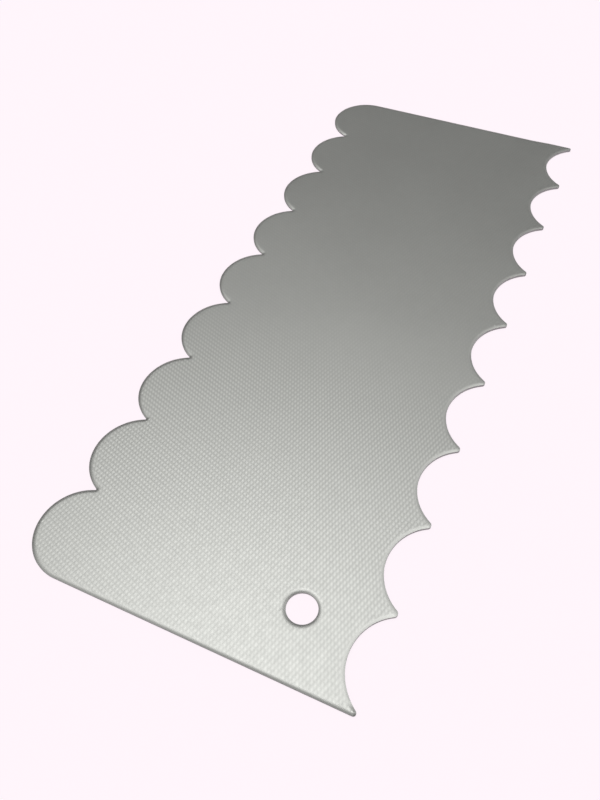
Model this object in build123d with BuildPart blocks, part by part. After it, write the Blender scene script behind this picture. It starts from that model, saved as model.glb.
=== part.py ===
"""Icing smoother: one flat steel plate, lobed along one long edge and scalloped along the other.

The plate lies on its back face. X runs across it from the lobes to the scallops, Y runs along it from the near
end to the far end, and Z is up. The origin is at the middle of the plate's outline, on the back face.
"""

import os
from math import sqrt

from build123d import *

# Working edges, in millimetres: both long edges repeat the same arc at the same pitch.
scallop_count = 9
scallop_pitch = 25.4
scallop_depth = 8.55
end_lobe_depth = 9.1

# Plate
notch_line_to_cusp_line = 86.2
sheet_thickness = 1.0

# Rounding of the outline: tips of the cusps, the two pointed end corners, and the roots of the notches
cusp_tip_radius = 1.0
corner_tip_radius = 0.7
notch_root_radius = 0.3

# Edges of the faces: the punch rolls the show face down at its edge, and the back edge is only broken
show_roll_width = 0.45
show_roll_drop = 0.25
back_edge_break = 0.12

# Hanging hole, punched from the show face
hole_diameter = 7.9
hole_from_cusp_line = 22.7
hole_from_near_end = 17.7
hole_roll_width = 0.35
hole_roll_drop = 0.2

# The circle of each scallop and lobe follows from its chord, the pitch, and its depth.
half_pitch = scallop_pitch / 2
scallop_radius = (half_pitch**2 + scallop_depth**2) / (2 * scallop_depth)

# The two end lobes run into the straight ends at a tangent, so pitch and depth set their circle too.
end_lobe_radius = scallop_pitch + end_lobe_depth - sqrt(2 * scallop_pitch * end_lobe_depth)

# Rounding the cusps takes a little off the width: the tip circle touches two neighbouring scallop circles.
scallop_centre_past_cusp_line = scallop_radius - scallop_depth
tip_centre_to_scallop_centre = sqrt((scallop_radius + cusp_tip_radius) ** 2 - half_pitch**2)
cusp_shortening = tip_centre_to_scallop_centre - scallop_centre_past_cusp_line - cusp_tip_radius

plate_length = scallop_count * scallop_pitch
plate_width = notch_line_to_cusp_line + end_lobe_depth - cusp_shortening

near_end_y = -plate_length / 2
far_end_y = plate_length / 2
lobe_side_x = -plate_width / 2
notch_line_x = lobe_side_x + end_lobe_depth
cusp_line_x = notch_line_x + notch_line_to_cusp_line
crown_line_x = notch_line_x - scallop_depth
scallop_bed_x = cusp_line_x - scallop_depth
end_lobe_centre_x = lobe_side_x + end_lobe_radius

# How far off its own line a corner of the outline may be found
corner_reach = notch_root_radius

hole_x = cusp_line_x - hole_from_cusp_line
hole_y = near_end_y + hole_from_near_end


def pitch_line_y(index):
    """Height along the plate of a cusp or notch, counted from the near end."""
    return near_end_y + index * scallop_pitch


def corners_at(sketch, x, first, last):
    """Corners of the outline that lie on the line x, from pitch line first to pitch line last."""
    on_line = sketch.vertices().filter_by_position(Axis.X, x - corner_reach, x + corner_reach)
    low_y = pitch_line_y(first) - corner_reach
    high_y = pitch_line_y(last) + corner_reach
    return on_line.filter_by_position(Axis.Y, low_y, high_y)


with BuildPart() as smoother_plate:
    with BuildSketch(Plane.XY) as outline:
        with BuildLine():
            # Scallop edge: nine hollow arcs from cusp to cusp
            for index in range(scallop_count):
                middle_y = pitch_line_y(index) + half_pitch
                ThreePointArc(
                    (cusp_line_x, pitch_line_y(index)),
                    (scallop_bed_x, middle_y),
                    (cusp_line_x, pitch_line_y(index + 1)),
                )
            # Lobe edge: seven full arcs from notch to notch
            for index in range(1, scallop_count - 1):
                middle_y = pitch_line_y(index) + half_pitch
                ThreePointArc(
                    (notch_line_x, pitch_line_y(index)),
                    (crown_line_x, middle_y),
                    (notch_line_x, pitch_line_y(index + 1)),
                )
            # Straight ends, each with the end lobe that leaves it at a tangent
            for end_y, notch_index in ((near_end_y, 1), (far_end_y, scallop_count - 1)):
                Line((cusp_line_x, end_y), (end_lobe_centre_x, end_y))
                TangentArc(
                    (end_lobe_centre_x, end_y),
                    (notch_line_x, pitch_line_y(notch_index)),
                    tangent=(-1, 0),
                )
        make_face()
        fillet(corners_at(outline, cusp_line_x, 1, scallop_count - 1), radius=cusp_tip_radius)
        fillet(corners_at(outline, cusp_line_x, 0, 0), radius=corner_tip_radius)
        fillet(corners_at(outline, cusp_line_x, scallop_count, scallop_count), radius=corner_tip_radius)
        fillet(corners_at(outline, notch_line_x, 1, scallop_count - 1), radius=notch_root_radius)
    extrude(amount=sheet_thickness)

    # Rolled show edge and broken back edge, all the way round the outline
    show_face = smoother_plate.faces().sort_by(Axis.Z)[-1]
    chamfer(show_face.edges(), length=show_roll_width, length2=show_roll_drop, reference=show_face)
    back_face = smoother_plate.faces().sort_by(Axis.Z)[0]
    chamfer(back_face.edges(), length=back_edge_break)

    # Hanging hole, with its own smaller roll on the show face
    with BuildSketch(Plane.XY):
        with Locations((hole_x, hole_y)):
            Circle(hole_diameter / 2)
    extrude(amount=sheet_thickness, mode=Mode.SUBTRACT)
    show_face = smoother_plate.faces().sort_by(Axis.Z)[-1]
    hole_rim = show_face.inner_wires().edges()
    chamfer(hole_rim, length=hole_roll_width, length2=hole_roll_drop, reference=show_face)

smoother_plate.part.label = "smoother_plate"

os.makedirs("parts", exist_ok=True)
export_step(smoother_plate.part, "parts/smoother_plate.step")
print(f"plate {plate_width:.2f} x {plate_length:.2f} x {sheet_thickness:.2f} mm")
print(f"scallop radius {scallop_radius:.3f} mm, end lobe radius {end_lobe_radius:.3f} mm")
print(f"cusp line x {cusp_line_x:.3f}, notch line x {notch_line_x:.3f}, hole {hole_x:.3f}, {hole_y:.3f} mm")
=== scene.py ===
"""Icing smoother, dressed for its picture: one thin steel plate with an embossed show face, on a pale table.

The plate is blanked from one sheet, so the scene has one piece. Its outline is drawn from the same named
sizes as the solid: nine hollow scallops on one long edge, nine full lobes on the other, straight ends and a
hanging hole. The show face carries a fine square lattice of pressed pyramids that stops short of the edge,
where a plain border rolls over into the sheared wall. Sizes are in millimetres until a mesh is made.
"""

from __future__ import annotations

import logging
import math
from dataclasses import dataclass, field
from enum import Enum

import bpy
import numpy as np
from mathutils import Matrix, Vector
from mathutils.geometry import delaunay_2d_cdt
from mathutils.kdtree import KDTree

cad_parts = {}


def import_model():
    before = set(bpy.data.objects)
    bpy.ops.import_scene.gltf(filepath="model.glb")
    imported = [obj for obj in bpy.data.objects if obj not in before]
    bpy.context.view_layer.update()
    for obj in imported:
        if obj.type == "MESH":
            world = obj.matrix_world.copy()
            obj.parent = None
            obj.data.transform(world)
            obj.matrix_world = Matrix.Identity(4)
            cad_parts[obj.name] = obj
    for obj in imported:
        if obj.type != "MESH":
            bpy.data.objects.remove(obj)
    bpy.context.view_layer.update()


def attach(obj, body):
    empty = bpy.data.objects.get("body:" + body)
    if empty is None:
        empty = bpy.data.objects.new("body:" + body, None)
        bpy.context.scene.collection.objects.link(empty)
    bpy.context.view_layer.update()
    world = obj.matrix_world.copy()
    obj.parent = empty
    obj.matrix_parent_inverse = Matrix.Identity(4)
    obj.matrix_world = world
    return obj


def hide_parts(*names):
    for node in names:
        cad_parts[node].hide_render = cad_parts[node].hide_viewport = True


log = logging.getLogger("icing_smoother")

MM = 0.001
NODE = "smoother_plate"

# A place on the plate, a centre with its radius, and red, green and blue
Point = tuple[float, float]
Circle = tuple[float, float, float]
Colour = tuple[float, float, float]

# Points nearer to each other than this, in millimetres, are taken as one
TOUCH = 1e-4
# The same for the triangulation, whose points all have to stay
SAME_POINT = 1e-6
# How many points are tested against the outline at once
BATCH = 4000


class Mark(Enum):
    """Attributes that the plate's mesh carries from its drawing to its finish."""

    FROM_EDGE = "from_edge"
    SHOW_FACE = "show_face"
    ROLL_SHARE = "roll_share"
    CUT_WALL = "cut_wall"


class Seen(Enum):
    """Kinds of ray that see the pale table at its picture brightness. The backdrop shows to the first."""

    CAMERA = "Is Camera Ray"
    GLOSSY = "Is Glossy Ray"
    TRANSMISSION = "Is Transmission Ray"


class Board:
    """A node tree with short ways to add nodes and to join their sockets."""

    def __init__(self, tree: bpy.types.NodeTree) -> None:
        """Starts on an empty shader or geometry tree."""
        self.tree = tree
        tree.nodes.clear()

    def add(self, kind: str, **settings: object) -> bpy.types.Node:
        """Adds one node.

        Args:
            kind: the node's type name.
            settings: properties to set on it.

        Returns:
            The new node.
        """
        node = self.tree.nodes.new(kind)
        for name, value in settings.items():
            setattr(node, name, value)
        return node

    def feed(self, socket: bpy.types.NodeSocket, value: object) -> None:
        """Joins an output socket to an input, or writes a plain value on it.

        Args:
            socket: the input to feed.
            value: an output socket, a number or a tuple.
        """
        if isinstance(value, bpy.types.NodeSocket):
            self.tree.links.new(value, socket)
        else:
            socket.default_value = value

    def math(self, operation: str, *values: object) -> bpy.types.NodeSocket:
        """Adds a Math node.

        Args:
            operation: the name of the operation.
            values: its one to three operands.

        Returns:
            The node's result.
        """
        node = self.add("ShaderNodeMath", operation=operation)
        for socket, value in zip(node.inputs, values):
            self.feed(socket, value)
        return node.outputs[0]

    def ease(self, value: object, start: object, stop: object) -> bpy.types.NodeSocket:
        """Adds a smooth step that rises from 0 at start to 1 at stop.

        Args:
            value: what is mapped.
            start: where the step begins.
            stop: where it ends.

        Returns:
            The eased value.
        """
        node = self.add("ShaderNodeMapRange", interpolation_type="SMOOTHSTEP")
        self.feed(node.inputs["Value"], value)
        self.feed(node.inputs["From Min"], start)
        self.feed(node.inputs["From Max"], stop)
        return node.outputs["Result"]

    def noise(
        self, vector: object, scale: float, detail: float = 2.0, roughness: float = 0.5
    ) -> bpy.types.NodeSocket:
        """Adds a noise texture.

        Args:
            vector: the coordinates it reads.
            scale: features per metre.
            detail: octaves.
            roughness: weight of the finer octaves.

        Returns:
            The noise as a value about 0.5.
        """
        node = self.add("ShaderNodeTexNoise")
        self.feed(node.inputs["Vector"], vector)
        self.feed(node.inputs["Scale"], scale)
        self.feed(node.inputs["Detail"], detail)
        self.feed(node.inputs["Roughness"], roughness)
        return node.outputs[0]

    def named(self, mark: Mark, data_type: str = "FLOAT") -> bpy.types.NodeSocket:
        """Reads one of the plate's attributes in a geometry tree.

        Args:
            mark: the attribute.
            data_type: what it holds.

        Returns:
            Its value.
        """
        node = self.add("GeometryNodeInputNamedAttribute", data_type=data_type)
        node.inputs["Name"].default_value = mark.value
        return node.outputs[0]


@dataclass(frozen=True)
class Embossing:
    """The pressed relief of the show face: a square lattice of low pyramids, a plain border and a roll.

    Attributes:
        turn: angle of the lattice's rows to the plate's width, in degrees.
        row_pitch: distance between pyramids along a row.
        column_pitch: distance between rows.
        groove_depth: depth of the grooves where they cross, under the pyramids' peaks.
        cross_share: share of that depth in the grooves between two rows, the others having the rest.
        plain_border: width of the border that carries no lattice.
        border_fade: width over which the lattice rises to its full depth.
        roll_width: width of the rolled edge.
        roll_drop: height that the rolled edge falls.
        roll_power: how late the roll steepens.
        light_roll_share: share of the roll's drop that is left along the scallops.
        light_roll_places: places across the plate between which the roll gets lighter.
    """

    turn: float = -18.4
    row_pitch: float = 1.087
    column_pitch: float = 1.207
    groove_depth: float = 0.014
    cross_share: float = 0.6
    plain_border: float = 0.7
    border_fade: float = 0.4
    roll_width: float = 1.2
    roll_drop: float = 0.33
    roll_power: float = 2.0
    light_roll_share: float = 0.3
    light_roll_places: tuple[float, float] = (31.0, 38.0)

    def to_lattice(self, points: np.ndarray) -> np.ndarray:
        """Turns plate coordinates into lattice cells.

        Args:
            points: points as rows, in millimetres.

        Returns:
            Row and column numbers, not rounded.
        """
        c, s = math.cos(math.radians(self.turn)), math.sin(math.radians(self.turn))
        x, y = points[:, 0], points[:, 1]
        return np.c_[(c * x + s * y) / self.row_pitch, (c * y - s * x) / self.column_pitch]

    def from_lattice(self, cells: np.ndarray) -> np.ndarray:
        """Turns lattice cells into plate coordinates.

        Args:
            cells: row and column numbers as rows.

        Returns:
            Points in millimetres.
        """
        c, s = math.cos(math.radians(self.turn)), math.sin(math.radians(self.turn))
        u, v = cells[:, 0] * self.row_pitch, cells[:, 1] * self.column_pitch
        return np.c_[c * u - s * v, s * u + c * v]

    def tree(self, finish: bpy.types.Material) -> bpy.types.GeometryNodeTree:
        """Builds the press: it sinks the lattice into the show face and rolls its edge over.

        Args:
            finish: the material that the face ends with.

        Returns:
            The geometry tree, with its sizes as named inputs in metres.
        """
        tree = bpy.data.node_groups.new("press_show_face", "GeometryNodeTree")
        face = tree.interface
        face.new_socket("Sheet", in_out="INPUT", socket_type="NodeSocketGeometry")
        defaults = {
            "Lattice turn": math.radians(self.turn),
            "Row pitch": self.row_pitch * MM,
            "Column pitch": self.column_pitch * MM,
            "Groove depth": self.groove_depth * MM,
            "Cross share": self.cross_share,
            "Plain border": self.plain_border * MM,
            "Border fade": self.border_fade * MM,
            "Roll width": self.roll_width * MM,
            "Roll drop": self.roll_drop * MM,
            "Roll power": self.roll_power,
        }
        for name, value in defaults.items():
            face.new_socket(name, in_out="INPUT", socket_type="NodeSocketFloat").default_value = value
        face.new_socket("Finish", in_out="INPUT", socket_type="NodeSocketMaterial").default_value = finish
        face.new_socket("Plate", in_out="OUTPUT", socket_type="NodeSocketGeometry")
        board = Board(tree)
        given = board.add("NodeGroupInput").outputs

        # How far a point lies from its pyramid's peak: 0 at the peak, 1 where grooves cross
        place = board.add("ShaderNodeSeparateXYZ")
        board.feed(place.inputs[0], board.add("GeometryNodeInputPosition").outputs[0])
        x, y = place.outputs["X"], place.outputs["Y"]
        c, s = board.math("COSINE", given["Lattice turn"]), board.math("SINE", given["Lattice turn"])
        u = board.math("MULTIPLY_ADD", c, x, board.math("MULTIPLY", s, y))
        v = board.math("SUBTRACT", board.math("MULTIPLY", c, y), board.math("MULTIPLY", s, x))
        off: list[bpy.types.NodeSocket] = []
        for axis, pitch in ((u, given["Row pitch"]), (v, given["Column pitch"])):
            within = board.math("FRACT", board.math("DIVIDE", axis, pitch))
            off.append(board.math("ABSOLUTE", board.math("SUBTRACT", within, 0.5)))
        cross = board.math("MULTIPLY", given["Cross share"], board.math("SUBTRACT", off[1], off[0]))
        sunk = board.math("MULTIPLY", board.math("ADD", off[0], cross), 2.0)

        # The lattice fades out towards the plain border
        gap = board.named(Mark.FROM_EDGE)
        full = board.math("ADD", given["Plain border"], given["Border fade"])
        groove = board.math("MULTIPLY", sunk, board.ease(gap, given["Plain border"], full))

        # The edge rolls over, ever steeper towards the wall
        share = board.math("SUBTRACT", 1.0, board.math("DIVIDE", gap, given["Roll width"]))
        roll = board.math("POWER", board.math("MAXIMUM", share, 0.0), given["Roll power"])
        roll = board.math("MULTIPLY", roll, board.named(Mark.ROLL_SHARE))
        rolled = board.math("MULTIPLY", roll, given["Roll drop"])
        fall = board.math("MULTIPLY_ADD", groove, given["Groove depth"], rolled)
        down = board.add("ShaderNodeCombineXYZ")
        board.feed(down.inputs["Z"], board.math("MULTIPLY", fall, -1.0))

        press = board.add("GeometryNodeSetPosition")
        board.feed(press.inputs["Geometry"], given["Sheet"])
        board.feed(press.inputs["Selection"], board.named(Mark.SHOW_FACE, "BOOLEAN"))
        board.feed(press.inputs["Offset"], down.outputs[0])
        real = board.add("GeometryNodeRealizeInstances")
        board.feed(real.inputs[0], press.outputs[0])
        dress = board.add("GeometryNodeSetMaterial")
        board.feed(dress.inputs["Geometry"], real.outputs[0])
        board.feed(dress.inputs["Material"], given["Finish"])
        board.feed(board.add("NodeGroupOutput").inputs[0], dress.outputs[0])
        return tree


@dataclass(frozen=True)
class LinenSteel:
    """Satin stainless sheet with a pressed linen face, a polished border and a sheared edge, with painted
    shade in the lattice's grooves and on the wall.

    Attributes:
        relief: the lattice that its grooves follow.
        name: the material's name.
        tint: body colour.
        border_tint: colour of the plain polished border.
        groove_shade_tint: painted shade down in the lattice's grooves.
        wall_shade_tint: colour of the sheared wall, darkened as painted shade for the shadowed table that it
            reflects.
        satin: lowest and highest roughness of the faces.
        wall_rough: roughness of the sheared wall.
        tone_edge: distances from the edge between which the painted groove shade sets in.
        border_edge: distances from the edge between which the border's colour ends.
        contrast: swing of the painted groove shade for one of the lattice's waves.
        drawn_out: how far the lattice's grains are drawn out along one diagonal.
        cross_weights: least and greatest weight of the cross grooves in the painted shade, at the scallops
            and at the lobes, following how the light falls.
        cross_until: places across the plate between which that weight changes.
        clear_until: places along the plate between which the painted groove shade fades towards the far end.
        lost_share: share of that painted shade that is gone at the far end.
        clear_from: places along the plate between which the painted shade rises from the near end.
        soft_share: share of that painted shade that is missing at the near end.
        haze_scale: slow clouds of handling haze to a metre.
        haze_swing: how much they change the colour.
        haze_rough: how much they change the roughness.
        mottle_scale: spots of the finer mottle to a metre.
        mottle_swing: how much they change the colour.
        satin_scale: spots of uneven satin to a metre.
        grain_scale: lines of the rolling grain to a metre.
        streak_scale: streaks of the shear to a metre.
        stretch: how many times longer than wide the grain and the streaks are.
        grain_height: their height.
        grain_strength: how strongly they turn the light.
    """

    relief: Embossing
    name: str = "linen_steel"
    tint: Colour = (0.665, 0.672, 0.640)
    border_tint: Colour = (0.655, 0.661, 0.630)
    groove_shade_tint: Colour = (0.475, 0.48, 0.457)
    wall_shade_tint: Colour = (0.34, 0.335, 0.335)
    satin: tuple[float, float] = (0.36, 0.44)
    wall_rough: float = 0.55
    tone_edge: tuple[float, float] = (0.5, 1.1)
    border_edge: tuple[float, float] = (1.3, 2.3)
    contrast: float = 0.31
    drawn_out: float = 0.65
    cross_weights: tuple[float, float] = (0.35, 0.95)
    cross_until: tuple[float, float] = (-34.0, 20.0)
    clear_until: tuple[float, float] = (-45.0, -5.0)
    lost_share: float = 0.85
    clear_from: tuple[float, float] = (-112.0, -74.0)
    soft_share: float = 0.42
    haze_scale: float = 26.0
    haze_swing: float = 0.07
    haze_rough: float = 0.04
    mottle_scale: float = 420.0
    mottle_swing: float = 0.06
    satin_scale: float = 700.0
    grain_scale: float = 5200.0
    streak_scale: float = 3600.0
    stretch: float = 9.0
    grain_height: float = 0.004
    grain_strength: float = 0.3

    def blend(self, board: Board, factor: object, first: object, second: object) -> bpy.types.NodeSocket:
        """Mixes two colours.

        Args:
            board: the shader board.
            factor: share of the second colour.
            first: colour or socket at factor 0.
            second: colour or socket at factor 1.

        Returns:
            The mixed colour.
        """
        node = board.add("ShaderNodeMix", data_type="RGBA")
        sides = ((node.inputs["Factor"], factor), (node.inputs[6], first), (node.inputs[7], second))
        for socket, value in sides:
            board.feed(socket, (*value, 1.0) if isinstance(value, tuple) else value)
        return node.outputs[2]

    def mark(self, board: Board, which: Mark) -> bpy.types.NodeSocket:
        """Reads one of the plate's attributes in the shader."""
        return board.add("ShaderNodeAttribute", attribute_name=which.value).outputs["Fac"]

    def stretched(
        self, board: Board, place: object, turn: float, scale: tuple[float, float, float]
    ) -> bpy.types.NodeSocket:
        """Turns and stretches the coordinates that a streaky pattern reads.

        Args:
            board: the shader board.
            place: object coordinates.
            turn: turn about the plate's normal, in degrees.
            scale: scale along the turned axes.

        Returns:
            The stretched coordinates.
        """
        node = board.add("ShaderNodeMapping", vector_type="TEXTURE")
        board.feed(node.inputs["Vector"], place)
        node.inputs["Rotation"].default_value = (0.0, 0.0, math.radians(turn))
        node.inputs["Scale"].default_value = scale
        return node.outputs[0]

    def painted_groove_shade(self, board: Board, place: bpy.types.NodeSocket) -> bpy.types.NodeSocket:
        """Paints shade into the lattice's grooves, and draws its grains out along a diagonal.

        Args:
            board: the shader board.
            place: object coordinates.

        Returns:
            0 on the pyramids' peaks, and 0.5 to 0.9 in the grooves where the painted shade is full.
        """
        split = board.add("ShaderNodeSeparateXYZ")
        board.feed(split.inputs[0], self.stretched(board, place, self.relief.turn, (MM, MM, MM)))
        full = 2 * math.pi
        across = board.math("MULTIPLY", split.outputs["X"], full / self.relief.row_pitch)
        along = board.math("MULTIPLY", split.outputs["Y"], full / self.relief.column_pitch)
        plate = board.add("ShaderNodeSeparateXYZ")
        board.feed(plate.inputs[0], place)

        # Painted shade that follows how the light falls across the plate: towards the lobes the cross
        # grooves weigh more, towards the scallops the grooves along the columns
        first, last = self.cross_until
        side = board.ease(plate.outputs["X"], first * MM, last * MM)
        light, heavy = self.cross_weights
        cross_weight = board.math("MULTIPLY_ADD", side, light - heavy, heavy)
        column_weight = board.math("SUBTRACT", light + 1.0, cross_weight)
        columns = board.math("MULTIPLY", board.math("COSINE", across), column_weight)
        waves = board.math("MULTIPLY_ADD", board.math("COSINE", along), cross_weight, columns)
        drawn = board.math("COSINE", board.math("ADD", across, along))
        height = board.math("MULTIPLY_ADD", drawn, -self.drawn_out, waves)

        # Towards both ends the painted shade only evens out: its mean stays
        first, last = self.clear_until
        far = board.math("MULTIPLY", board.ease(plate.outputs["Y"], first * MM, last * MM), self.lost_share)
        first, last = self.clear_from
        near = board.math("MULTIPLY", board.ease(plate.outputs["Y"], last * MM, first * MM), self.soft_share)
        left = board.math("SUBTRACT", board.math("SUBTRACT", 1.0, far), near)
        swing = board.math("MULTIPLY", left, self.contrast)
        return board.math("MULTIPLY_ADD", height, swing, 0.5)

    def make(self) -> bpy.types.Material:
        """Builds the shader.

        Returns:
            The finished material.
        """
        material = bpy.data.materials.new(self.name)
        material.use_nodes = True
        board = Board(material.node_tree)
        place = board.add("ShaderNodeTexCoord").outputs["Object"]
        from_edge = self.mark(board, Mark.FROM_EDGE)
        wall = self.mark(board, Mark.CUT_WALL)
        first, last = self.tone_edge
        inner = board.ease(from_edge, first * MM, last * MM)
        # Painted shade in the lattice's grooves, fading in away from the plain border
        groove = board.math("MULTIPLY", self.painted_groove_shade(board, place), inner)
        first, last = self.border_edge
        border = board.math("SUBTRACT", 1.0, board.ease(from_edge, first * MM, last * MM))

        # Colour: slow clouds of handling haze, then a finer mottle
        clouds = board.noise(place, self.haze_scale, detail=3.0)
        mottle = board.noise(place, self.mottle_scale, roughness=0.6)
        colour = self.blend(board, border, self.tint, self.border_tint)
        # Painted shade darkens the lattice's grooves
        colour = self.blend(board, groove, colour, self.groove_shade_tint)
        # Painted shade: the sheared wall is darkened for the shadowed table that it reflects
        colour = self.blend(board, wall, colour, self.wall_shade_tint)
        shade = board.math("MULTIPLY_ADD", clouds, self.haze_swing, 1.0 - self.haze_swing / 2)
        spots = board.math("MULTIPLY_ADD", mottle, self.mottle_swing, 1.0 - self.mottle_swing / 2)
        shade = board.math("MULTIPLY", shade, spots)
        shaded = board.add("ShaderNodeVectorMath", operation="SCALE")
        board.feed(shaded.inputs[0], colour)
        board.feed(shaded.inputs["Scale"], shade)

        # Satin: the pressed face is uneven, the sheared wall is dull
        low, high = self.satin
        rough = board.math("MULTIPLY_ADD", board.noise(place, self.satin_scale), high - low, low)
        rough = board.math("MULTIPLY_ADD", clouds, self.haze_rough, rough)
        wall_gap = board.math("SUBTRACT", self.wall_rough, rough)
        rough = board.math("MULTIPLY_ADD", wall, wall_gap, rough)

        # Rolling grain of the sheet, and the streaks that the shear leaves down the wall
        rolled = self.stretched(board, place, self.relief.turn, (self.stretch, 1.0, 1.0))
        grain = board.noise(rolled, self.grain_scale, roughness=0.6)
        sheared = self.stretched(board, place, 0.0, (1.0, 1.0, self.stretch))
        streaks = board.noise(sheared, self.streak_scale, roughness=0.65)
        relief = board.math("MULTIPLY_ADD", wall, board.math("SUBTRACT", streaks, grain), grain)
        bump = board.add("ShaderNodeBump")
        bump.inputs["Strength"].default_value = self.grain_strength
        bump.inputs["Distance"].default_value = self.grain_height * MM
        board.feed(bump.inputs["Height"], relief)

        skin = board.add("ShaderNodeBsdfPrincipled")
        board.feed(skin.inputs["Base Color"], shaded.outputs[0])
        board.feed(skin.inputs["Roughness"], rough)
        board.feed(skin.inputs["Normal"], bump.outputs["Normal"])
        skin.inputs["Metallic"].default_value = 1.0
        board.feed(board.add("ShaderNodeOutputMaterial").inputs["Surface"], skin.outputs[0])
        return material


@dataclass
class WorkingOutline:
    """The plate's outline and hanging hole, drawn from the same sizes as the solid.

    Attributes:
        scallop_count: scallops on one long edge, and lobes on the other.
        pitch: chord of each scallop and lobe.
        scallop_depth: depth of a scallop and height of a lobe.
        end_lobe_depth: reach of the two end lobes past the notch line.
        body_width: notch line to cusp line, before the cusps are rounded.
        cusp_tip: radius of the cusps.
        corner_tip: radius of the two pointed end corners.
        notch_root: radius of the notch roots.
        hole_radius: radius of the hanging hole.
        hole_from_cusps: hole centre to cusp line.
        hole_from_near_end: hole centre to near end.
        step: distance between drawn points on the long arcs.
        tip_step: the same on the cusps and corner tips.
        root_step: the same on the notch roots.
        hole_step: the same on the hanging hole.
        straight_share: the same on the straight ends, as a share of that on the long arcs.
        loops: the outer loop and the hole's, each with the plate on its left.
        inward: at each of their points, the direction into the plate.
    """

    scallop_count: int = 9
    pitch: float = 25.4
    scallop_depth: float = 8.55
    end_lobe_depth: float = 9.1
    body_width: float = 86.2
    cusp_tip: float = 1.0
    corner_tip: float = 0.7
    notch_root: float = 0.3
    hole_radius: float = 3.95
    hole_from_cusps: float = 22.7
    hole_from_near_end: float = 17.7
    step: float = 0.55
    tip_step: float = 0.12
    root_step: float = 0.05
    hole_step: float = 0.28
    straight_share: float = 1.4
    loops: list[np.ndarray] = field(default_factory=list)
    inward: list[np.ndarray] = field(default_factory=list)

    def __post_init__(self) -> None:
        """Works out the derived sizes and draws both loops."""
        half = self.pitch / 2
        self.radius = (half**2 + self.scallop_depth**2) / (2 * self.scallop_depth)
        self.end_radius = self.pitch + self.end_lobe_depth - math.sqrt(2 * self.pitch * self.end_lobe_depth)
        past = self.radius - self.scallop_depth
        self.shortening = math.sqrt((self.radius + self.cusp_tip) ** 2 - half**2) - past - self.cusp_tip
        self.length = self.scallop_count * self.pitch
        self.width = self.body_width + self.end_lobe_depth - self.shortening
        self.notch_x = -self.width / 2 + self.end_lobe_depth
        self.cusp_x = self.notch_x + self.body_width
        for points in (self.draw_plate(), self.draw_hole()):
            self.loops.append(points)
            self.inward.append(self.normals(points))

    def arc(self, centre: Point, radius: float, start: float, stop: float, step: float) -> np.ndarray:
        """Points along a circular arc, both ends included.

        Args:
            centre: its centre.
            radius: its radius.
            start: first angle in radians.
            stop: last angle in radians.
            step: distance between points.

        Returns:
            The points as rows.
        """
        count = max(3, int(math.ceil(abs(stop - start) * radius / step)) + 1)
        turn = np.linspace(start, stop, count)
        return np.c_[centre[0] + radius * np.cos(turn), centre[1] + radius * np.sin(turn)]

    def tip_on_line(self, scallop: Point, line_y: float, side: float) -> Point:
        """Centre of a corner tip's circle: it touches a scallop from outside and an end line from within.

        Args:
            scallop: centre of the scallop's circle.
            line_y: height of the end line.
            side: 1 if the plate lies above the line, -1 if below.

        Returns:
            The centre.
        """
        y = line_y + side * self.corner_tip
        reach = self.radius + self.corner_tip
        return scallop[0] - math.sqrt(reach**2 - (y - scallop[1]) ** 2), y

    def angle(self, centre: Point, target: Point) -> float:
        """Direction from one point to another, in radians."""
        return math.atan2(target[1] - centre[1], target[0] - centre[0])

    def draw_plate(self) -> np.ndarray:
        """Draws the outer loop, counter-clockwise, from the near right corner.

        Returns:
            The points as rows, none repeated.
        """
        near, far = -self.length / 2, self.length / 2
        full = 2 * math.pi
        scallop_x = self.cusp_x + self.radius - self.scallop_depth
        lobe_x = self.notch_x + self.radius - self.scallop_depth
        end_x = -self.width / 2 + self.end_radius
        parts: list[np.ndarray] = []

        # Scallop edge, from the near corner to the far one
        scallops = [(scallop_x, near + (i + 0.5) * self.pitch) for i in range(self.scallop_count)]
        tips = [(*self.tip_on_line(scallops[0], near, 1.0), self.corner_tip)]
        cusp_centre_x = scallop_x - math.sqrt((self.radius + self.cusp_tip) ** 2 - (self.pitch / 2) ** 2)
        tips += [(cusp_centre_x, near + i * self.pitch, self.cusp_tip) for i in range(1, self.scallop_count)]
        tips += [(*self.tip_on_line(scallops[-1], far, -1.0), self.corner_tip)]
        for index, (x, y, tip) in enumerate(tips):
            before = self.angle((x, y), scallops[index - 1]) if index else -math.pi / 2
            after = self.angle((x, y), scallops[index]) if index < self.scallop_count else math.pi / 2
            parts.append(self.arc((x, y), tip, before, after, self.tip_step))
            if index < self.scallop_count:
                start = self.angle(scallops[index], (x, y)) % full
                stop = self.angle(scallops[index], tips[index + 1][:2]) % full
                parts.append(self.arc(scallops[index], self.radius, start, stop, self.step))

        # Far end, then the lobe edge back to the near end, each notch root a small arc between two lobes
        lobe_heights = [far - (i + 0.5) * self.pitch for i in range(1, self.scallop_count - 1)]
        centres = [(end_x, far - self.end_radius, self.end_radius)]
        centres += [(lobe_x, height, self.radius) for height in lobe_heights]
        centres += [(end_x, near + self.end_radius, self.end_radius)]
        roots = [self.root_between(a, b) for a, b in zip(centres, centres[1:])]
        parts.append(self.line((tips[-1][0], far), (end_x, far)))
        for index, (x, y, radius) in enumerate(centres):
            start = self.angle((x, y), roots[index - 1]) if index else math.pi / 2
            stop = self.angle((x, y), roots[index]) if index < len(roots) else -math.pi / 2
            start, stop = start % full, stop % full
            parts.append(self.arc((x, y), radius, start, stop, self.step))
            if index < len(roots):
                root = roots[index]
                start = self.angle(root, (x, y))
                stop = self.angle(root, centres[index + 1][:2])
                parts.append(self.arc(root, self.notch_root, start, stop, self.root_step))
        parts.append(self.line((end_x, near), (tips[0][0], near)))
        points = np.concatenate(parts)
        gaps = np.linalg.norm(points - np.roll(points, 1, axis=0), axis=1)
        return points[gaps > TOUCH]

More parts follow.
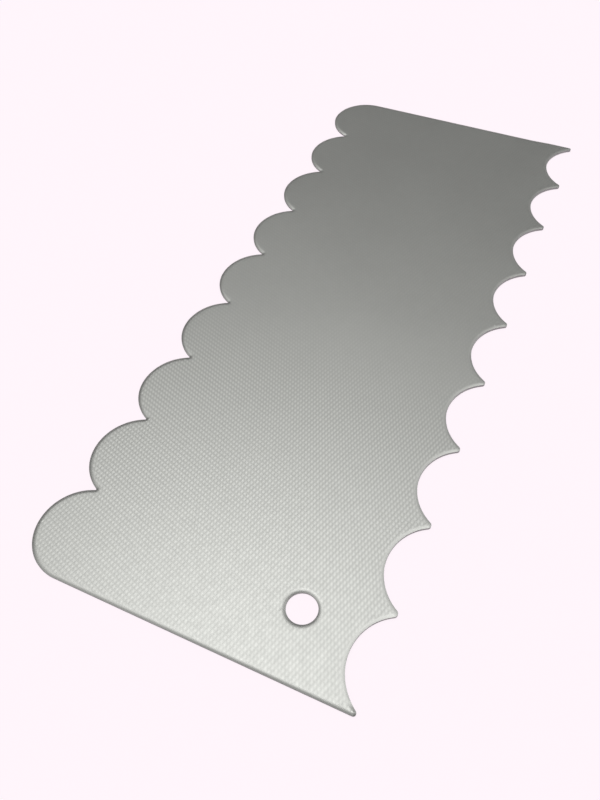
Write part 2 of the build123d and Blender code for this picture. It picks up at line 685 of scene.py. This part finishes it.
    def root_between(self, first: Circle, second: Circle) -> Point:
        """Centre of the small circle that rounds a notch, outside both of its lobes.

        Args:
            first: centre and radius of the farther lobe.
            second: centre and radius of the nearer lobe.

        Returns:
            The centre, on the open side.
        """
        a, b = np.array(first[:2]), np.array(second[:2])
        ra, rb = first[2] + self.notch_root, second[2] + self.notch_root
        span = float(np.linalg.norm(b - a))
        along = (span**2 + ra**2 - rb**2) / (2 * span)
        across = math.sqrt(ra**2 - along**2)
        unit = (b - a) / span
        centre = a + along * unit + across * np.array([unit[1], -unit[0]])
        return float(centre[0]), float(centre[1])

    def line(self, start: Point, stop: Point) -> np.ndarray:
        """Points along a straight end as rows, both ends included."""
        count = int(math.ceil(math.dist(start, stop) / (self.straight_share * self.step))) + 1
        return np.linspace(start, stop, count)

    def draw_hole(self) -> np.ndarray:
        """Draws the hanging hole as rows of points, clockwise so that the plate is on its left."""
        centre = (self.cusp_x - self.hole_from_cusps, -self.length / 2 + self.hole_from_near_end)
        return self.arc(centre, self.hole_radius, 2 * math.pi, 0.0, self.hole_step)[:-1]

    def normals(self, points: np.ndarray) -> np.ndarray:
        """Directions into the plate at each point of a loop that has the plate on its left.

        Args:
            points: the loop.

        Returns:
            Unit vectors as rows.
        """
        along = np.roll(points, -1, axis=0) - np.roll(points, 1, axis=0)
        along /= np.linalg.norm(along, axis=1)[:, None]
        return np.c_[-along[:, 1], along[:, 0]]

    def distance(self, points: np.ndarray) -> np.ndarray:
        """Distance from each point to the nearest edge of the plate or hole.

        Args:
            points: points as rows.

        Returns:
            One distance a point.
        """
        loops = np.concatenate(self.loops)
        before = np.concatenate([np.roll(loop, 1, axis=0) for loop in self.loops])
        after = np.concatenate([np.roll(loop, -1, axis=0) for loop in self.loops])
        nearest = KDTree(len(loops))
        for number, (x, y) in enumerate(loops):
            nearest.insert((x, y, 0.0), number)
        nearest.balance()
        at = np.array([nearest.find((x, y, 0.0))[1] for x, y in points])
        best = np.full(len(points), np.inf)
        for other in (before[at], after[at]):
            run = other - loops[at]
            share = np.clip(((points - loops[at]) * run).sum(1) / (run**2).sum(1), 0, 1)
            best = np.minimum(best, np.linalg.norm(points - loops[at] - share[:, None] * run, axis=1))
        return best

    def inside(self, points: np.ndarray, loops: list[np.ndarray] | None = None) -> np.ndarray:
        """Tells which points are in the plate's material.

        Args:
            points: points as rows.
            loops: the outline and hole to test against, if not the drawn ones.

        Returns:
            True for each point inside the outline and outside the hole.
        """
        odd = np.zeros(len(points), bool)
        for loop in loops or self.loops:
            a, b = loop, np.roll(loop, -1, axis=0)
            for at in range(0, len(points), BATCH):
                x, y = points[at : at + BATCH, 0, None], points[at : at + BATCH, 1, None]
                spans = (a[:, 1] > y) != (b[:, 1] > y)
                rise = np.where(b[:, 1] == a[:, 1], 1.0, b[:, 1] - a[:, 1])
                cross = a[:, 0] + (y - a[:, 1]) / rise * (b[:, 0] - a[:, 0])
                odd[at : at + BATCH] ^= (spans & (x < cross)).sum(1) % 2 == 1
        return odd

    def loop_edges(self) -> list[tuple[int, int]]:
        """Joins the points of both loops, numbered one loop after the other.

        Returns:
            The two point numbers of each edge.
        """
        edges: list[tuple[int, int]] = []
        for loop in self.loops:
            start = len(edges)
            edges += [(start + k, start + (k + 1) % len(loop)) for k in range(len(loop))]
        return edges


@dataclass
class SmootherPlate:
    """The whole tool: the flat drawn sheet, pressed, rolled, walled and closed.

    Attributes:
        outline: its drawn edge.
        embossing: its show face's relief.
        finish: its steel.
        thickness: thickness of the sheet.
        back_break: how far the back edge is broken.
        back_break_wall: share of the wall's finish, painted wall shade included, on that broken edge.
        crease: angle past which an edge between smooth faces stays sharp, in degrees.
        ring_shares: places of the rings across the roll, as shares of its width.
        border_ring_share: place of one more ring, as a share of the plain border.
        ring_slack: how far a ring's point may lie inside its distance, as a share of it.
        net_span: first and last place of the net in a tip, from the cusp line.
        net_half_width: half the width of that net.
        net_step: distance between its points.
        net_gap: least distance from the edge to its points.
        net_border_share: greatest distance from the edge to its points, as a share of the plain border.
        crowding: least distance between the points of rings and nets.
        block_share: room from the border to the outermost cells' middles, as a share of the column pitch.
    """

    outline: WorkingOutline
    embossing: Embossing
    finish: LinenSteel
    thickness: float = 1.0
    back_break: float = 0.12
    back_break_wall: float = 0.5
    crease: float = 38.0
    ring_shares: tuple[float, ...] = (0.045, 0.12, 0.23, 0.37, 0.54, 0.76, 1.0)
    border_ring_share: float = 0.87
    ring_slack: float = 0.005
    net_span: tuple[float, float] = (-5.0, 2.0)
    net_half_width: float = 2.3
    net_step: float = 0.23
    net_gap: float = 0.12
    net_border_share: float = 1.2
    crowding: float = 0.1
    block_share: float = 0.8

    def ring_points(self) -> np.ndarray:
        """Points of the rings that follow the edge across the roll and the plain border.

        Returns:
            The points as rows, those past the middle of a narrow tip left out.
        """
        depths = [self.embossing.roll_width * share for share in self.ring_shares]
        depths.append(self.embossing.plain_border * self.border_ring_share)
        found: list[np.ndarray] = []
        for depth in depths:
            for loop, inward in zip(self.outline.loops, self.outline.inward):
                ring = loop + depth * inward
                least = depth * (1.0 - self.ring_slack) - TOUCH
                found.append(ring[self.outline.distance(ring) > least])
        return np.concatenate(found)

    def tip_points(self) -> np.ndarray:
        """A fine net of points in the narrow tips, where the rings from both sides meet.

        Returns:
            The points as rows.
        """
        near = -self.outline.length / 2
        spots = [near + i * self.outline.pitch for i in range(self.outline.scallop_count + 1)]
        net = np.arange(*self.net_span, self.net_step)
        side = np.arange(-self.net_half_width, self.net_half_width + TOUCH, self.net_step)
        found = [np.stack(np.meshgrid(self.outline.cusp_x + net, y + side), -1) for y in spots]
        points = np.concatenate(found).reshape(-1, 2)
        points = points[self.outline.inside(points)]
        gap = self.outline.distance(points)
        return points[(gap > self.net_gap) & (gap < self.net_border_share * self.embossing.plain_border)]

    def thin(self, points: np.ndarray, least: float) -> np.ndarray:
        """Leaves out points that crowd an earlier one.

        Args:
            points: points as rows.
            least: the smallest distance kept.

        Returns:
            The points that stay.
        """
        taken: dict[tuple[int, int], list[np.ndarray]] = {}
        kept: list[np.ndarray] = []
        for point in points:
            cell = (int(point[0] // least), int(point[1] // least))
            around = ((cell[0] + i, cell[1] + j) for i in (-1, 0, 1) for j in (-1, 0, 1))
            near = (other for key in around for other in taken.get(key, ()))
            if all(math.dist(point, other) >= least for other in near):
                taken.setdefault(cell, []).append(point)
                kept.append(point)
        return np.array(kept)

    def cell_rim(self, i: int, j: int) -> list[tuple[tuple[int, int], tuple[int, int]]]:
        """Points round one lattice cell, its cross grooves halved.

        Args:
            i: the cell's column.
            j: its row.

        Returns:
            Each point in half cells, with the cell beyond the edge that starts there.
        """
        x, y = 2 * i, 2 * j
        below, right, above, left = (i, j - 1), (i + 1, j), (i, j + 1), (i - 1, j)
        near = [((x, y), below), ((x + 1, y), below), ((x + 2, y), right)]
        return near + [((x + 2, y + 2), above), ((x + 1, y + 2), above), ((x, y + 2), left)]

    def lattice_block(self) -> tuple[np.ndarray, np.ndarray, list[tuple[int, int]], set[tuple[int, int]]]:
        """Whole lattice cells that fit inside the plain border.

        Returns:
            Rim and centre points, six triangles a cell, the block's border edges, and the cells.
        """
        reach = int(self.outline.length / self.embossing.row_pitch)
        grid = np.stack(np.meshgrid(np.arange(-reach, reach), np.arange(-reach, reach)), -1).reshape(-1, 2)
        middles = self.embossing.from_lattice(grid + 0.5)
        near = (abs(middles[:, 0]) < self.outline.width / 2) & (abs(middles[:, 1]) < self.outline.length / 2)
        grid, middles = grid[near], middles[near]
        within = self.outline.inside(middles)
        grid, middles = grid[within], middles[within]
        margin = self.embossing.plain_border + self.block_share * self.embossing.column_pitch
        cells = {(int(i), int(j)) for i, j in grid[self.outline.distance(middles) > margin]}

        # Rim points are numbered in half cells: a corner is even both ways, a cross groove's middle is not
        rims = {(i, j): self.cell_rim(i, j) for i, j in sorted(cells)}
        rim_points: dict[tuple[int, int], int] = {}
        for rim in rims.values():
            for key, _ in rim:
                rim_points.setdefault(key, len(rim_points))
        triangles: list[tuple[int, int, int]] = []
        border: list[tuple[int, int]] = []
        for number, rim in enumerate(rims.values()):
            middle = len(rim_points) + number
            for (here, beyond), (there, _) in zip(rim, rim[1:] + rim[:1]):
                a, b = rim_points[here], rim_points[there]
                triangles.append((a, b, middle))
                if beyond not in cells:
                    border.append((a, b))
        points = np.concatenate([np.array(list(rim_points)) / 2, np.array(list(rims)) + 0.5])
        return self.embossing.from_lattice(points), np.array(triangles), border, cells

    def show_sheet(self) -> tuple[np.ndarray, np.ndarray, int, list[np.ndarray]]:
        """Triangulates the show face, flat.

        Returns:
            Points, triangles, how many of the first are lattice facets, and the edge loops' point numbers.
        """
        block, facets, border, cells = self.lattice_block()
        loops = self.outline.loops
        loop_count = sum(len(loop) for loop in loops)
        free = self.thin(np.concatenate([self.ring_points(), self.tip_points()]), self.crowding)
        rim = sorted({k for pair in border for k in pair})
        rim_at = {k: loop_count + n for n, k in enumerate(rim)}
        near_rim = self.embossing.to_lattice(free)
        clear = [(int(i), int(j)) not in cells for i, j in np.floor(near_rim)]
        free = free[np.array(clear)]
        band = np.concatenate([*loops, block[rim], free])
        edges = self.outline.loop_edges() + [(rim_at[a], rim_at[b]) for a, b in border]
        made = delaunay_2d_cdt([Vector(p) for p in band], edges, [], 0, SAME_POINT)
        if len(made[0]) != len(band):
            raise ValueError(f"the band's points changed: {len(band)} became {len(made[0])}")
        back = np.zeros(len(band), int)
        for new, old in enumerate(made[3]):
            back[new] = old[0]
        triangles = back[np.array(made[2])]
        middles = band[triangles].mean(1)
        keep = self.outline.inside(middles)
        at = np.floor(self.embossing.to_lattice(middles))
        keep &= np.array([(int(i), int(j)) not in cells for i, j in at])
        triangles = triangles[keep]

        # One list of points: the block's first, then the loops and the free points
        number = np.empty(len(band), int)
        number[:loop_count] = len(block) + np.arange(loop_count)
        number[loop_count : loop_count + len(rim)] = rim
        number[loop_count + len(rim) :] = len(block) + loop_count + np.arange(len(free))
        points = np.concatenate([block, *loops, free])
        ids: list[np.ndarray] = []
        start = len(block)
        for loop in loops:
            ids.append(np.arange(start, start + len(loop)))
            start += len(loop)
        return points, np.concatenate([facets, number[triangles]]), len(facets), ids

    def roll_shares(self, points: np.ndarray) -> np.ndarray:
        """Tells how much of the full roll each point takes.

        Args:
            points: points as rows.

        Returns:
            1 at the lobes, the hole and the near end, falling to the light roll at the scallops.
        """
        start, stop = self.embossing.light_roll_places
        across = np.clip((points[:, 0] - start) / (stop - start), 0.0, 1.0)
        from_near_end = points[:, 1] + self.outline.length / 2
        along = np.clip(from_near_end / self.embossing.roll_width - 1.0, 0.0, 1.0)
        return 1.0 - (1.0 - self.embossing.light_roll_share) * across * along

    def closed_mesh(self) -> bpy.types.Mesh:
        """Builds the closed plate, its show face still flat.

        Returns:
            A mesh with the marks that the press and the finish read.
        """
        flat, triangles, facet_count, loop_ids = self.show_sheet()
        count = len(flat)
        from_edge = self.outline.distance(flat)
        for ids in loop_ids:
            from_edge[ids] = 0.0
        rows = [np.c_[flat, np.full(count, self.thickness)]]
        gaps, shown = [from_edge], [np.ones(count)]
        faces = [tuple(int(k) for k in t) for t in triangles]
        smooth = [False] * facet_count + [True] * (len(triangles) - facet_count)
        cut = [0.0] * len(faces)
        back_loops: list[tuple[np.ndarray, np.ndarray]] = []
        total = count
        for loop, inward, ids in zip(self.outline.loops, self.outline.inward, loop_ids):
            size = len(loop)
            following = np.roll(np.arange(size), -1)
            upper = ids
            for ring, level, wall in (
                (loop, self.back_break, 1.0),
                (loop + self.back_break * inward, 0.0, self.back_break_wall),
            ):
                rows.append(np.c_[ring, np.full(size, level)])
                gaps.append(np.zeros(size))
                shown.append(np.zeros(size))
                lower = np.arange(total, total + size)
                total += size
                for k, n in enumerate(following):
                    faces.append((int(upper[k]), int(lower[k]), int(lower[n]), int(upper[n])))
                smooth += [True] * size
                cut += [wall] * size
                upper = lower
            back_loops.append((loop + self.back_break * inward, upper))

        # Back face: the same sheet seen from below, plain and flat
        ring = np.concatenate([points for points, _ in back_loops])
        ids = np.concatenate([numbers for _, numbers in back_loops])
        made = delaunay_2d_cdt([Vector(p) for p in ring], self.outline.loop_edges(), [], 0, SAME_POINT)
        back = np.array([old[0] for old in made[3]])
        under = back[np.array(made[2])]
        under = under[self.outline.inside(ring[under].mean(1), [points for points, _ in back_loops])]
        faces += [(int(ids[a]), int(ids[c]), int(ids[b])) for a, b, c in under]
        smooth += [False] * len(under)
        cut += [0.0] * len(under)

        mesh = bpy.data.meshes.new("embossed_plate")
        mesh.from_pydata((np.concatenate(rows) * MM).tolist(), [], faces)
        mesh.polygons.foreach_set("use_smooth", smooth)
        attribute = mesh.attributes.new(Mark.FROM_EDGE.value, "FLOAT", "POINT")
        attribute.data.foreach_set("value", (np.concatenate(gaps) * MM).astype(np.float32))
        attribute = mesh.attributes.new(Mark.ROLL_SHARE.value, "FLOAT", "POINT")
        attribute.data.foreach_set("value", self.roll_shares(np.concatenate(rows)).astype(np.float32))
        attribute = mesh.attributes.new(Mark.CUT_WALL.value, "FLOAT", "FACE")
        attribute.data.foreach_set("value", np.array(cut, np.float32))
        attribute = mesh.attributes.new(Mark.SHOW_FACE.value, "BOOLEAN", "POINT")
        attribute.data.foreach_set("value", np.concatenate(shown) > 0.5)
        mesh.update()
        return mesh

    def build(self) -> bpy.types.Object:
        """Presses the sheet and hands the piece over to the frame.

        Returns:
            The finished piece, riding on the root body in place of the plain solid.
        """
        material = self.finish.make()
        drawn = bpy.data.objects.new("drawn_sheet", self.closed_mesh())
        bpy.context.scene.collection.objects.link(drawn)
        press = drawn.modifiers.new("press", "NODES")
        press.node_group = self.embossing.tree(material)
        sockets = press.node_group.interface.items_tree
        by_name = {socket.name: socket.identifier for socket in sockets if socket.in_out == "INPUT"}
        press[by_name["Lattice turn"]] = math.radians(self.embossing.turn)
        press[by_name["Finish"]] = material
        evaluated = drawn.evaluated_get(bpy.context.evaluated_depsgraph_get())
        mesh = bpy.data.meshes.new_from_object(evaluated)
        bpy.data.objects.remove(drawn)
        mesh.name = "embossed_plate"
        smooth = np.empty(len(mesh.polygons), bool)
        mesh.polygons.foreach_get("use_smooth", smooth)
        mesh.set_sharp_from_angle(angle=math.radians(self.crease))
        mesh.polygons.foreach_set("use_smooth", smooth)
        piece = bpy.data.objects.new("embossed_plate", mesh)
        bpy.context.scene.collection.objects.link(piece)
        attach(piece, "root")
        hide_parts(NODE)
        return piece


@dataclass(frozen=True)
class Glow:
    """One soft bright patch of the room that lights the plate and shows in its satin.

    Attributes:
        azimuth: where its middle is, in degrees from +X towards +Y.
        elevation: how high its middle is, in degrees.
        spread: angle from its middle at which it has faded to six tenths, in degrees.
        strength: its brightness in the middle.
    """

    azimuth: float
    elevation: float
    spread: float
    strength: float

    def axis(self) -> tuple[float, float, float]:
        """Direction of its middle, as a unit vector."""
        turn, lift = math.radians(self.azimuth), math.radians(self.elevation)
        return math.cos(turn) * math.cos(lift), math.sin(turn) * math.cos(lift), math.sin(lift)

    def light(self, board: Board, towards: bpy.types.NodeSocket) -> bpy.types.NodeSocket:
        """Adds the nodes of this patch's light.

        Args:
            board: the world's board.
            towards: the direction that is looked in.

        Returns:
            Its brightness in that direction, as a white light.
        """
        facing = board.add("ShaderNodeVectorMath", operation="DOT_PRODUCT")
        board.feed(facing.inputs[0], towards)
        facing.inputs[1].default_value = self.axis()
        tightness = 1.0 / math.radians(self.spread) ** 2
        falling = board.math("MULTIPLY_ADD", facing.outputs["Value"], tightness, -tightness)
        fade = board.math("EXPONENT", falling)
        scaled = board.add("ShaderNodeVectorMath", operation="SCALE")
        scaled.inputs[0].default_value = (self.strength, self.strength, self.strength)
        board.feed(scaled.inputs["Scale"], fade)
        return scaled.outputs[0]


@dataclass
class PhotoStudio:
    """Pale table, a dim room with a soft ceiling light and paler patches, and the photograph's camera.

    Attributes:
        paper: colour of the table as the camera sees it.
        paper_glow: brightness of the table as the camera sees it.
        paper_matt: share of the room's light that is added to it, so that shadows show.
        paper_bounce: colour of the table for the light that it sends back to the plate.
        table_half: half the width of the table, in metres.
        table_gap: how far the table lies under the plate, in millimetres.
        room_light: colour of the dim room.
        glows: the soft ceiling light, then the paler patches low round the room.
        camera_place: where the camera stands, in millimetres.
        camera_aim: point on the show face in the middle of the picture, in millimetres.
        camera_roll: tilt of the picture, in degrees.
        lens: focal length, in millimetres.
        sensor: width of its sensor, in millimetres.
        clip: nearest and farthest thing that the camera sees, in metres.
    """

    paper: Colour = (1.0, 0.913, 0.965)
    paper_glow: float = 0.925
    paper_matt: float = 0.14
    paper_bounce: Colour = (0.80, 0.76, 0.78)
    table_half: float = 1.5
    table_gap: float = 0.02
    room_light: Colour = (0.12, 0.12, 0.12)
    glows: tuple[Glow, ...] = (
        Glow(140.0, 78.0, 14.6, 2.80),
        Glow(60.0, 12.0, 10.0, 1.1),
        Glow(32.0, 37.0, 12.0, 0.8),
        Glow(100.0, 2.0, 6.0, 0.4),
        Glow(216.0, 42.0, 14.0, 0.45),
        Glow(275.0, 12.0, 18.0, 0.6),
    )
    camera_place: tuple[float, float, float] = (54.716, -154.495, 168.880)
    camera_aim: tuple[float, float, float] = (-0.453, -39.939, 1.0)
    camera_roll: float = -1.870
    lens: float = 32.563
    sensor: float = 36.0
    clip: tuple[float, float] = (0.005, 10.0)

    def seen_at_picture_brightness(self, board: Board) -> bpy.types.NodeSocket:
        """Tells the rays that see the paper from those that only carry light.

        Args:
            board: the shader board.

        Returns:
            1 for camera, glossy and transmission rays, and 0 for the rest.
        """
        path = board.add("ShaderNodeLightPath")
        first = board.math("MAXIMUM", path.outputs[Seen.CAMERA.value], path.outputs[Seen.GLOSSY.value])
        return board.math("MAXIMUM", first, path.outputs[Seen.TRANSMISSION.value])

    def room(self) -> None:
        """Sets the world: a dim room with its soft glows."""
        world = bpy.data.worlds.new("room")
        world.use_nodes = True
        bpy.context.scene.world = world
        board = Board(world.node_tree)
        towards = board.add("ShaderNodeTexCoord").outputs["Generated"]
        light: object = self.room_light
        for glow in self.glows:
            total = board.add("ShaderNodeVectorMath", operation="ADD")
            board.feed(total.inputs[0], light)
            board.feed(total.inputs[1], glow.light(board, towards))
            light = total.outputs[0]
        camera_ray = board.add("ShaderNodeLightPath").outputs[Seen.CAMERA.value]
        backdrop = board.add("ShaderNodeMix", data_type="RGBA")
        board.feed(backdrop.inputs["Factor"], camera_ray)
        board.feed(backdrop.inputs[6], light)
        backdrop.inputs[7].default_value = (*self.paper, 1.0)
        shown = board.add("ShaderNodeBackground")
        board.feed(shown.inputs["Color"], backdrop.outputs[2])
        board.feed(board.add("ShaderNodeOutputWorld").inputs["Surface"], shown.outputs[0])

    def table(self) -> bpy.types.Object:
        """Makes the pale table top just under the plate.

        Returns:
            The table.
        """
        mesh = bpy.data.meshes.new("table")
        half = self.table_half
        corners = [(-half, -half, 0), (half, -half, 0), (half, half, 0), (-half, half, 0)]
        mesh.from_pydata(corners, [], [(0, 1, 2, 3)])
        table = bpy.data.objects.new("table", mesh)
        table.location.z = -self.table_gap * MM
        bpy.context.scene.collection.objects.link(table)
        material = bpy.data.materials.new("pale_paper")
        material.use_nodes = True
        board = Board(material.node_tree)
        seen = self.seen_at_picture_brightness(board)
        glow = board.add("ShaderNodeEmission")
        glow.inputs["Color"].default_value = (*(self.paper_glow * c for c in self.paper), 1.0)
        shaded = board.add("ShaderNodeBsdfDiffuse")
        shaded.inputs["Color"].default_value = (*(self.paper_matt * c for c in self.paper), 1.0)
        both = board.add("ShaderNodeAddShader")
        board.feed(both.inputs[0], glow.outputs[0])
        board.feed(both.inputs[1], shaded.outputs[0])
        bounce = board.add("ShaderNodeBsdfDiffuse")
        bounce.inputs["Color"].default_value = (*self.paper_bounce, 1.0)
        mix = board.add("ShaderNodeMixShader")
        board.feed(mix.inputs[0], seen)
        board.feed(mix.inputs[1], bounce.outputs[0])
        board.feed(mix.inputs[2], both.outputs[0])
        board.feed(board.add("ShaderNodeOutputMaterial").inputs["Surface"], mix.outputs[0])
        mesh.materials.append(material)
        return table

    def camera(self) -> bpy.types.Object:
        """Stands the camera where the photograph was taken from.

        Returns:
            The scene's camera.
        """
        data = bpy.data.cameras.new("camera")
        data.lens = self.lens
        data.sensor_width = self.sensor
        data.clip_start, data.clip_end = self.clip
        camera = bpy.data.objects.new("camera", data)
        place, aim = Vector(self.camera_place) * MM, Vector(self.camera_aim) * MM
        back = (place - aim).normalized()
        right = Vector((0, 0, 1)).cross(back).normalized()
        level = Matrix((right, back.cross(right), back)).transposed()
        tilt = Matrix.Rotation(math.radians(self.camera_roll), 3, back)
        camera.matrix_world = Matrix.Translation(place) @ (tilt @ level).to_4x4()
        bpy.context.scene.collection.objects.link(camera)
        bpy.context.scene.camera = camera
        return camera

    def build(self) -> None:
        """Sets up everything that isn't the plate."""
        scene = bpy.context.scene
        scene.view_settings.view_transform = "Standard"
        self.room()
        for made in (self.table(), self.camera()):
            log.info("studio: %s", made.name)


def main() -> None:
    """Loads the frame, and builds the plate and the studio."""
    logging.basicConfig(level=logging.INFO, format="%(name)s: %(message)s")
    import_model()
    relief = Embossing()
    plate = SmootherPlate(WorkingOutline(), relief, LinenSteel(relief)).build()
    log.info("%s: %d vertices, %d faces", plate.name, len(plate.data.vertices), len(plate.data.polygons))
    PhotoStudio().build()
    bpy.context.view_layer.update()


if __name__ == "__main__":
    main()
